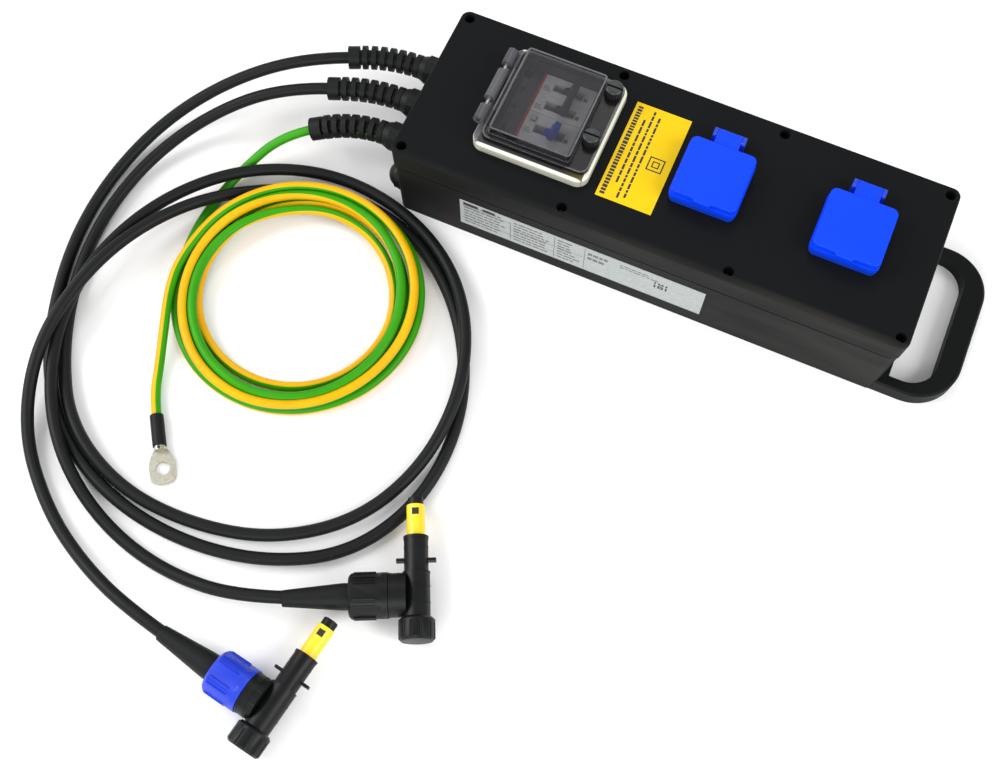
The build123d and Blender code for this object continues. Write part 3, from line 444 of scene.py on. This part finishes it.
def softened(node, width, segments=2, angle=38.0):
    """Stand-in for a CAD part: the same shape with small rounded edges that catch the light."""
    bm = bmesh.new()
    bm.from_mesh(frame["nodes"][node].data)
    bmesh.ops.remove_doubles(bm, verts=bm.verts, dist=1e-6)
    bmesh.ops.dissolve_limit(bm, angle_limit=math.radians(0.5), verts=bm.verts, edges=bm.edges)
    piece = add_piece(f"{node}_shape", bm, NODE_FINISH[node], NODE_BODY[node])
    bevel = piece.modifiers.new("soft_edges", "BEVEL")
    bevel.width = width
    bevel.segments = segments
    bevel.limit_method = "ANGLE"
    bevel.angle_limit = math.radians(angle)
    bevel.harden_normals = True
    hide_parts(node)
    return piece


# %% [markdown]
# ## Rounded edges
# No moulded edge is perfectly sharp, and the thin bright line along it is what tells the eye that
# a thing is real. The CAD keeps its edges plain, so the parts that show get a copy whose loose
# triangles are merged and whose edges a Bevel modifier rounds.

# %% Soften the parts that show
SOFT_EDGES = {
    "tray": 0.6, "cover": 0.35, "carry_handle": 1.0, "window_frame": 0.4, "window_screw_1": 0.3,
    "window_screw_2": 0.3, "socket_1_lid": 0.4, "socket_2_lid": 0.4, "socket_1_body": 0.4,
    "socket_2_body": 0.4, "breaker_poles": 0.3, "rcd_module": 0.3, "breaker_toggles": 0.4,
    "rcd_toggle": 0.4, "gland_bodies": 0.4, "gland_1_spiral_nut": 0.5, "gland_2_spiral_nut": 0.5,
    "gland_3_spiral_nut": 0.5, "connector_1_body": 0.4, "connector_2_body": 0.4,
    "connector_1_ring": 0.5, "connector_2_ring": 0.5, "connector_1_knob": 0.4,
    "connector_2_knob": 0.4, "connector_boots": 0.5, "connector_sleeves": 0.3,
    "connector_tips": 0.3, "earth_lug": 0.25, "lug_sleeve": 0.4, "blanking_plug": 0.5,
}
for node, width in SOFT_EDGES.items():
    softened(node, width * MM)
print("softened:", len(SOFT_EDGES))

# %% [markdown]
# ## The cables
# A cable is one smooth curve with a round bevel. Its control points repeat the route of the CAD
# tube. A NURBS curve of order 3 stays inside the corners of its control points, so it bends as
# a real cable does.


# %% Helpers for cords
def cord_curve(name, points, diameter, finish, tilts=()):
    """One open smooth spline with a round section."""
    data = bpy.data.curves.new(name, "CURVE")
    data.dimensions = "3D"
    data.twist_mode = "Z_UP"
    data.bevel_depth = diameter / 2
    data.bevel_resolution = 6
    data.resolution_u = 12
    data.use_fill_caps = True
    spline = data.splines.new("NURBS")
    spline.points.add(len(points) - 1)
    for place, point in enumerate(points):
        spline.points[place].co = (*point, 1.0)
        spline.points[place].tilt = tilts[place] if tilts else 0.0
    spline.order_u = 3
    spline.use_endpoint_u = True
    data.materials.append(finish)
    cord = bpy.data.objects.new(name, data)
    bpy.context.scene.collection.objects.link(cord)
    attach(cord, "box")
    return cord


# %% Cable routes
CABLE_D = 9.4 * MM
CABLE_1 = [
    (-0.188, 0.0335, 0.042), (-0.246, 0.0335, 0.042), (-0.312, 0.004, 0.041), (-0.361, -0.029, 0.027),
    (-0.398, -0.074, 0.012), (-0.416, -0.131, 0.005), (-0.416, -0.191, 0.005), (-0.402, -0.249, 0.005),
    (-0.377, -0.304, 0.005), (-0.336, -0.348, 0.005), (-0.281, -0.373, 0.005), (-0.221, -0.38, 0.005),
    (-0.162, -0.37, 0.005), (-0.109, -0.341, 0.005), (-0.079, -0.288, 0.005), (-0.075, -0.228, 0.005),
    (-0.092, -0.171, 0.005), (-0.127, -0.122, 0.005), (-0.176, -0.087, 0.005), (-0.236, -0.076, 0.005),
    (-0.292, -0.094, 0.005), (-0.338, -0.132, 0.016), (-0.369, -0.183, 0.024), (-0.384, -0.24, 0.027),
    (-0.385, -0.298, 0.0225), (-0.3665, -0.3535, 0.006), (-0.3225, -0.3965, 0.005),
    (-0.2765, -0.4225, 0.008), (-0.2245, -0.4398, 0.0164), (-0.1702, -0.4487, 0.0164)]
CABLE_2 = [
    (-0.188, 0, 0.042), (-0.246, 0, 0.042), (-0.317, -0.026, 0.037), (-0.364, -0.06, 0.02),
    (-0.395, -0.111, 0.008), (-0.405, -0.171, 0.005), (-0.396, -0.231, 0.005), (-0.373, -0.287, 0.006),
    (-0.337, -0.336, 0.0095), (-0.282, -0.363, 0.006), (-0.221, -0.366, 0.005), (-0.162, -0.352, 0.005),
    (-0.113, -0.315, 0.005), (-0.087, -0.26, 0.008), (-0.084, -0.199, 0.0155), (-0.104, -0.142, 0.0155),
    (-0.143, -0.096, 0.008), (-0.199, -0.071, 0.0105), (-0.26, -0.067, 0.01), (-0.316, -0.091, 0.0145),
    (-0.359, -0.134, 0.015), (-0.384, -0.189, 0.015), (-0.389, -0.25, 0.0155), (-0.37, -0.308, 0.0155),
    (-0.334, -0.357, 0.013), (-0.283, -0.39, 0.005), (-0.222, -0.405, 0.006),
    (-0.1572, -0.4003, 0.0164), (-0.1075, -0.3768, 0.0164)]
cable_1 = cord_curve("cable_1_jacket", CABLE_1, CABLE_D, CABLE)
cable_2 = cord_curve("cable_2_jacket", CABLE_2, CABLE_D, CABLE)
CABLES = ((cable_1, CABLE_1, 1.72), (cable_2, CABLE_2, 1.70))
for number, (cable, route, length) in enumerate(CABLES, 1):
    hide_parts(f"cable_{number}")
print("cables laid")

# %% [markdown]
# ## The earth lead and its coil
# The lead leaves the third gland, lies in a loose coil and goes on to its lug. It is one cord, so
# it is one spline: the coil's turns are more points of it. Each turn starts in one place of the
# bundle and drifts to another on the way round, as turns that are dropped by hand do. The bottom
# turns drift inwards late in their round, and the top ones climb outwards early in theirs.

# %% Earth lead
LEAD_D = 7.4 * MM
COIL_X, COIL_Y = -0.2337, -0.1753
COIL_TILT = math.radians(2.7)
COIL_LOW_Y = COIL_Y - 0.095
STEPS = 12
PLACES = [                         # radius and height of each place in the bundle, in mm
    (91.3, 4.1), (83.2, 4.1), (75.2, 4.1), (75.4, 11.7), (82.8, 11.7), (90.4, 11.7)]
LATE = {9: 0.15, 10: 0.5, 11: 0.85}
EARLY = {1: 0.3, 2: 0.75, **{step: 1.0 for step in range(3, STEPS)}}
DRIFTS = [LATE, LATE, LATE, EARLY, EARLY]
SWELL = [                          # how far each turn bulges out on its way round, in mm
    [0, 0, 0, 0, 0.5, 2.5, 4.5, 4.5, 2.5, 0.5, 0, 0],
    [0, 0, 0, 0, 0, 0.5, 1.0, 0.5, 0, 0, 0, 0],
    [0, -1, -2.5, -3.0, -1.5, 0, 1.0, 0, -0.5, -1, -4.0, -2.0],
    [0, 0, 0, 1.0, 1.5, 0, -1.5, -1.5, 0, 0, 0, 0],
    [0, 0, 0.5, 0.5, 0, -0.5, 0.5, 1.0, 0.5, 0, 0, 0]]
START = math.radians(184.0)


def coil_points():
    """The coil's control points, turn by turn, from the left side round by the near side."""
    outward = 1 / math.cos(math.pi / STEPS)
    points = []
    for turn, drift in enumerate(DRIFTS):
        (radius_a, height_a), (radius_b, height_b) = PLACES[turn], PLACES[turn + 1]
        for step in range(STEPS):
            share = drift.get(step, 0.0)
            radius = (radius_a + (radius_b - radius_a) * share + SWELL[turn][step]) * outward * MM
            height = (height_a + (height_b - height_a) * share) * MM
            angle = START + 2 * math.pi * step / STEPS
            y = COIL_Y + radius * math.sin(angle)
            rise = (y - COIL_LOW_Y) * math.sin(COIL_TILT)
            points.append((COIL_X + radius * math.cos(angle), y, height + max(rise, 0.0)))
    return points


LEAD_IN = [
    (-0.188, -0.0335, 0.042), (-0.246, -0.0335, 0.042), (-0.300, -0.058, 0.027),
    (-0.326, -0.094, 0.004), (-0.333, -0.140, 0.0045)]
LEAD_OUT = [
    (-0.3268, -0.183, 0.0162), (-0.3222, -0.211, 0.0150), (-0.3115, -0.240, 0.0110),
    (-0.3020, -0.266, 0.0062), (-0.2936, -0.289, 0.0052), (-0.2845, -0.3025, 0.0052)]
turns = coil_points()
TURN_TILTS = [0.4, 2.2, 3.6, 1.2, 4.4]       # where the yellow stripe lies on each turn
LEAD_OUT_TILT = 5.4
LEAD_IN_TILT = 0.3
tilts = [LEAD_IN_TILT] * len(LEAD_IN)
for turn, tilt in enumerate(TURN_TILTS):
    following = (TURN_TILTS + [LEAD_OUT_TILT])[turn + 1]
    tilts += [tilt + (following - tilt) * (step / STEPS) ** 3 for step in range(STEPS)]
tilts += [LEAD_OUT_TILT] * len(LEAD_OUT)
lead = cord_curve("earth_lead_jacket", LEAD_IN + turns + LEAD_OUT, LEAD_D, EARTH, tilts)
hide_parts("earth_lead_in", "earth_coil", "earth_lead_out")


def polyline_length(thing):
    """Length of a curve's own line."""
    bare = thing.data.copy()
    bare.bevel_depth = 0.0
    holder = bpy.data.objects.new("measure", bare)
    mesh = bpy.data.meshes.new_from_object(holder)
    total = sum((mesh.vertices[a].co - mesh.vertices[b].co).length
                for a, b in (edge.vertices for edge in mesh.edges))
    bpy.data.objects.remove(holder)
    return total


for cord in (cable_1, cable_2, lead):
    print(cord.name, "length", round(polyline_length(cord), 3), "m")


# %% [markdown]
# ## Small blocks, rings and dashes
# Most fine details are thin blocks, so one helper adds a block to a bmesh, and another makes a
# flat rounded rectangle's rim: corners bevelled, the face inset, its middle taken out, and the rim
# that is left pulled up.


# %% Helpers for details
def block(bm, low, high, turn=None):
    """Add a block between two corners, given in millimetres."""
    low, high = Vector(low) * MM, Vector(high) * MM
    size = high - low
    place = Matrix.Translation((low + high) / 2) @ Matrix.Diagonal((*size, 1.0))
    return bmesh.ops.create_cube(bm, size=1.0, matrix=(turn @ place) if turn else place)["verts"]


def rim(bm, x0, x1, y0, y1, z0, z1, corner, width):
    """Add the rim of a rounded rectangle, in millimetres."""
    place = Matrix.Translation(Vector(((x0 + x1) / 2, (y0 + y1) / 2, z0)) * MM)
    place = place @ Matrix.Diagonal(((x1 - x0) / 2 * MM, (y1 - y0) / 2 * MM, 1.0, 1.0))
    verts = bmesh.ops.create_grid(bm, x_segments=1, y_segments=1, size=1.0, matrix=place)["verts"]
    made = bmesh.ops.bevel(bm, geom=verts, offset=corner * MM, offset_type="OFFSET", segments=6,
                           profile=0.5, affect="VERTICES", material=-1)
    face = [f for f in bm.faces if all(v in made["verts"] or v in verts for v in f.verts)][-1]
    inset = bmesh.ops.inset_individual(bm, faces=[face], thickness=width * MM, depth=0.0)["faces"]
    bmesh.ops.delete(bm, geom=[face], context="FACES_ONLY")
    raised = bmesh.ops.extrude_face_region(bm, geom=inset)["geom"]
    lifted = [v for v in raised if isinstance(v, bmesh.types.BMVert)]
    bmesh.ops.translate(bm, verts=lifted, vec=(0, 0, (z1 - z0) * MM))


def close_up(bm):
    """Merge doubles and turn the faces outwards."""
    bmesh.ops.remove_doubles(bm, verts=bm.verts, dist=1e-7)
    bmesh.ops.recalc_face_normals(bm, faces=bm.faces)


# %% [markdown]
# ## The flap's edges
# The raised window has a dense dark bead round its top and another round its foot, and the flap
# has a thin lip. Seen from above they are the two dark outlines inside the cream frame.

# %% Window edges
bm = bmesh.new()
rim(bm, -140.4, -56.6, -37.9, 45.9, 96.8, 97.5, 7, 1.3)
rim(bm, -136.4, -70.6, -34.4, 44.9, 96.8, 98.2, 3.4, 1.5)
rim(bm, -135.4, -71.6, -33.4, 43.9, 103.6, 104.3, 3.0, 1.3)
close_up(bm)
add_piece("flap_edges", bm, SMOKE_EDGE, "flap")
print("flap edges made")

# %% [markdown]
# ## What is printed on the devices
# The devices carry a red line and a dark strip on one side, ring symbols, and little flags beside
# their toggles. All of them are small flat shapes, standing a little off the plastic.

# %% Device details
DEVICE_TOP = 84.0
LEVER_ROWS = (31.9, 14.4, -7.5)    # where the three levers stand, across the devices
RING_X, RING_RADII = -112.5, (2.6, 1.9)
bm = bmesh.new()
block(bm, (-119.7, -20.0, 82.6), (-118.3, 40.6, 84.4))
add_piece("device_stripe", bm, RED, "box")
bm = bmesh.new()
# A dark strip along the devices' left side, set lower than their tops.
block(bm, (-129.0, -20.3, 79.0), (-119.8, 40.6, 82.8))
add_piece("device_dark_strip", bm, DARK_STRIP, "box")
bm = bmesh.new()
for y in LEVER_ROWS:
    middle = Matrix.Translation(Vector((RING_X, y + 3.5, DEVICE_TOP + 0.06)) * MM)
    for radius in RING_RADII:
        bmesh.ops.create_cone(bm, cap_ends=False, segments=28, radius1=radius * MM,
                              radius2=radius * MM, depth=0.1 * MM, matrix=middle)
    for row in range(3):
        low = y - 5.5 + row * 1.7
        block(bm, (-116.5, low, DEVICE_TOP), (-110.0 - row, low + 0.6, DEVICE_TOP + 0.08))
close_up(bm)
add_piece("device_marks", bm, GREY_INK, "box")
bm = bmesh.new()
for y in LEVER_ROWS:
    block(bm, (-84.5, y - 3.6, DEVICE_TOP), (-81.5, y - 0.4, DEVICE_TOP + 0.12))
add_piece("device_flags", bm, GREEN, "box")
print("device details made")

# %% [markdown]
# ## The two labels
# Real lettering is left out. Rows of short dashes stand for lines of print: each row has a start, an
# end and a height, and word lengths come from a seeded random draw, so they are the same each run.


# %% Rows of dashes
PRINT = 0.05                       # how far print stands off its label, in mm


def dashes(bm, start, end, low, high, top, turn=None, along_y=False, gap=0.9, words=(2.0, 6.5)):
    """Fill a row with word-like dashes that stand a little off a surface."""
    at = start
    while at < end - words[0]:
        reach = min(at + draw.uniform(*words), end)
        if along_y:
            block(bm, (low, at, top), (high, reach, top + PRINT), turn)
        else:
            block(bm, (at, low, top), (reach, high, top + PRINT), turn)
        at = reach + gap


draw = random.Random(11)
LABEL_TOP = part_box("warning_label")[1].z / MM
bm = bmesh.new()
dashes(bm, -40.0, 41.5, -44.2, -40.4, LABEL_TOP, along_y=True, gap=0.8, words=(1.6, 2.6))
dashes(bm, -27.0, 34.0, -36.6, -34.9, LABEL_TOP, along_y=True)
dashes(bm, -39.0, 41.0, -31.6, -29.9, LABEL_TOP, along_y=True)
dashes(bm, -37.0, 39.0, -26.6, -24.9, LABEL_TOP, along_y=True)
add_piece("warning_marks", bm, INK, "box")
bm = bmesh.new()
rim(bm, -20.5, -8.5, -8.0, 4.0, LABEL_TOP, LABEL_TOP + 0.06, 0.3, 1.0)
rim(bm, -17.3, -11.7, -4.8, 0.8, LABEL_TOP, LABEL_TOP + 0.06, 0.2, 0.9)
close_up(bm)
add_piece("warning_symbol", bm, INK, "box")

# %% Rating plate
plate_low, plate_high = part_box("rating_label")
LEAN = math.atan(3.5 / 85.0)       # the wall leans out by 3.5 mm over its height
PLATE_TOP = 0.16                   # the label's own face, from its middle
BLOCK_TOP = 0.22
plate_middle = (plate_low + plate_high) / 2
wall_frame = (Matrix.Translation(plate_middle) @ Matrix.Rotation(LEAN, 4, "X")
              @ Matrix.Rotation(math.radians(90), 4, "X"))
bm = bmesh.new()
ROWS = 7
for column, (left, right) in enumerate(((-97, -58), (-56, -22), (-20, 2))):
    for row in range(ROWS):
        low = 12.5 - row * 4.4
        dashes(bm, left + 1.5, right - draw.uniform(1, 9), low, low + 1.7, PLATE_TOP, wall_frame)
PLATE_LINES = (                    # left, right, low and high of each ruled line
    (-57.4, -56.9, -16, 12), (-21.2, -20.7, -16, 17), (3.4, 3.9, -16, 17),
    (-56, 3, 1.5, 1.9), (-97, -57, 10.4, 10.8), (-97, -21, -8.6, -8.2))
for left, right, low, high in PLATE_LINES:
    block(bm, (left, low, PLATE_TOP), (right, high, PLATE_TOP + PRINT), wall_frame)
for row in range(2):
    dashes(bm, 6, 22, 8.5 - row * 7, 12.0 - row * 7, PLATE_TOP, wall_frame, words=(2.5, 4.5))
    dashes(bm, 32, 56 + row * 8, 11.5 - row * 3.4, 12.8 - row * 3.4, PLATE_TOP, wall_frame)
add_piece("rating_marks", bm, GREY_INK, "box")
bm = bmesh.new()
block(bm, (-96, 12.2, PLATE_TOP), (-84, 16.4, BLOCK_TOP), wall_frame)
block(bm, (-80, 12.2, PLATE_TOP), (-70, 16.4, BLOCK_TOP), wall_frame)
CELL, FILLED = 1.5, 0.92           # a small grid of cells stands for a printed code
CELLS_X, CELLS_Y = 60, -2
for i in range(7):
    for j in range(6):
        if (i * 5 + j * 3 + i * j) % 4 != 1:
            block(bm, (CELLS_X + i * CELL, CELLS_Y + j * CELL, PLATE_TOP),
                  (CELLS_X + (i + FILLED) * CELL, CELLS_Y + (j + FILLED) * CELL, BLOCK_TOP),
                  wall_frame)
add_piece("rating_blocks", bm, INK, "box")
print("labels printed")

# %% [markdown]
# ## The socket lids
# Each lid has a low ledge round its lower half, and small slots in both ends of its hinge tab.
# The ledge is a rim, and the slots are dark inlays: painted shade where the slots are.

# %% Lid details
LID_X = {1: 28.2, 2: 135.5}
SLOT_ROWS = ((28.2, 30.6), (31.6, 34.4))
for number, x in LID_X.items():
    bm = bmesh.new()
    rim(bm, x - 25.9, x + 25.9, -25.9, 24.6, 89.9, 94.6, 5.2, 0.8)
    close_up(bm)
    cap = f"socket_{number}_cap"
    ledge = add_piece(f"socket_{number}_lid_ledge", bm, BLUE, cap)
    bevel = ledge.modifiers.new("soft_edges", "BEVEL")
    bevel.width = 0.25 * MM
    bevel.segments = 2
    # Painted shade: flat dark inlays stand for the dark inside of the slots.
    bm = bmesh.new()
    for side in (-1, 1):
        for low, high in SLOT_ROWS:
            edge = sorted((x + side * 7.3, x + side * 7.8))
            block(bm, (edge[0], low, 97.9), (edge[1], high, 98.16))
    add_piece(f"socket_{number}_lid_slots", bm, INK, cap)
print("lids finished")

# %% [markdown]
# ## Connector details
# Thin moulding lines run round each T, its coupling ring has grip ribs, and the yellow sleeves
# carry a plain dark mark where a symbol would be.

# %% Connector details
TEE_Z = 16.4
T_LINES = (-15.9, -6.0, 5.5)       # where the moulding lines start, along the T's bar
TEES = {1: ((-108.0, -459.0), (-0.987, 0.163)), 2: ((-50.6, -349.8), (-0.903, -0.428))}


def tee_frame(number):
    """Local frame of a T: +X out along the boot, +Y towards the knob."""
    (cx, cy), (dx, dy) = TEES[number]
    turn = Matrix(((dx, -dy, 0), (dy, dx, 0), (0, 0, 1))).to_4x4()
    return Matrix.Translation(Vector((cx, cy, TEE_Z)) * MM) @ turn


def band(bm, place, along, radius, start, end):
    """A thin ring round a local axis, in millimetres."""
    turn = Matrix.Rotation(math.radians(90), 4, "Y" if along == "X" else "X")
    middle = (start + end) / 2 * MM
    offset = Matrix.Translation((middle, 0, 0) if along == "X" else (0, middle, 0))
    bmesh.ops.create_cone(bm, cap_ends=True, segments=48, radius1=radius * MM, radius2=radius * MM,
                          depth=(end - start) * MM, matrix=place @ offset @ turn)


for number in TEES:
    place = tee_frame(number)
    bm = bmesh.new()
    for start in T_LINES:
        band(bm, place, "Y", 9.85, start, start + 0.7)
    band(bm, place, "Y", 8.95, -41.5, -39.5)
    band(bm, place, "Y", 8.8, -34.0, -33.4)
    band(bm, place, "X", 15.55, 17.6, 19.0)
    band(bm, place, "X", 15.55, 12.0, 12.6)
    add_piece(f"connector_{number}_lines", bm, SATIN_BLACK, "box")
    bm = bmesh.new()
    for rib in range(6):
        lean = place @ Matrix.Rotation(math.radians(60 * rib + 30), 4, "X")
        for offset in (-2.6, 0.0, 2.6):
            block(bm, (28.0, offset - 0.5, 15.4), (43.5, offset + 0.5, 16.45), lean)
    add_piece(f"connector_{number}_ribs", bm, RING_BLUE if number == 1 else SATIN_BLACK,
              f"plug_{number}_ring")
    bm = bmesh.new()
    block(bm, (-2.4, -61.2, 6.2), (2.4, -56.4, 6.56), place)
    add_piece(f"connector_{number}_mark", bm, INK, "box")
print("connectors finished")

# %% [markdown]
# ## The lug's sight hole
# The neck of a crimp lug has a small hole through which the strands can be seen. It is a flat dark
# disc just past the sleeve, painted shade that stands for the hole.

# %% Lug sight hole
LUG_START = Vector(LEAD_OUT[-1])
lug_way = (Vector(LEAD_OUT[-1]) - Vector(LEAD_OUT[-2])).normalized()
hole = LUG_START + lug_way * 26.6 * MM
LUG_AXIS_Z, LUG_NECK_R = 5.2, 4.2
HOLE_R = 1.3 * MM
# Painted shade: a thin dark disc on top of the neck stands for the hole.
bm = bmesh.new()
bmesh.ops.create_cone(bm, cap_ends=True, segments=24, radius1=HOLE_R, radius2=HOLE_R,
                      depth=0.3 * MM,
                      matrix=Matrix.Translation((hole.x, hole.y, (LUG_AXIS_Z + LUG_NECK_R) * MM)))
add_piece("lug_sight_hole", bm, INK, "box")

# %% [markdown]
# ## Floor and light
# A plain pale floor and broad soft lamps. A glossy black box mirrors whatever is above it, so the
# sky is kept dim and the lamps stand to the sides, where the camera doesn't see their reflection.

# %% Floor
bm = bmesh.new()
bmesh.ops.create_grid(bm, x_segments=1, y_segments=1, size=4.0)
floor_mesh = bpy.data.meshes.new("floor")
bm.to_mesh(floor_mesh)
bm.free()
floor_finish = Finish("floor_paper", specular_ior_level=0.1)
paper = floor_finish.noise(6.0, 3.0)
floor_finish.feed("Base Color", floor_finish.blend(paper, (0.90, 0.90, 0.90), (0.94, 0.94, 0.94)))
floor_finish.feed("Roughness", 0.9)
floor_mesh.materials.append(floor_finish.material)
floor = bpy.data.objects.new("floor", floor_mesh)
bpy.context.scene.collection.objects.link(floor)


# %% Lights
AIM = Vector((-0.1, -0.15, 0.0))
SKY_STRENGTH = 0.55


def lamp(name, place, size, watts):
    """A square soft lamp aimed at the middle of the object."""
    data = bpy.data.lights.new(name, "AREA")
    data.size = size
    data.energy = watts
    thing = bpy.data.objects.new(name, data)
    turn = (AIM - Vector(place)).to_track_quat("-Z", "Y").to_matrix().to_4x4()
    thing.matrix_world = Matrix.Translation(place) @ turn
    bpy.context.scene.collection.objects.link(thing)


lamp("left_lamp", (-2.2, -0.6, 1.6), 1.6, 57.0)
lamp("right_lamp", (2.2, -0.4, 1.7), 1.6, 49.0)
lamp("near_lamp", (0.2, -2.4, 1.2), 1.4, 33.0)
lamp("top_lamp", (-0.6, 1.6, 2.4), 0.8, 11.0)
world = bpy.data.worlds.new("soft_sky")
bpy.context.scene.world = world
world.use_nodes = True
world.node_tree.nodes["Background"].inputs["Color"].default_value = (1.0, 1.0, 1.0, 1.0)
world.node_tree.nodes["Background"].inputs["Strength"].default_value = SKY_STRENGTH
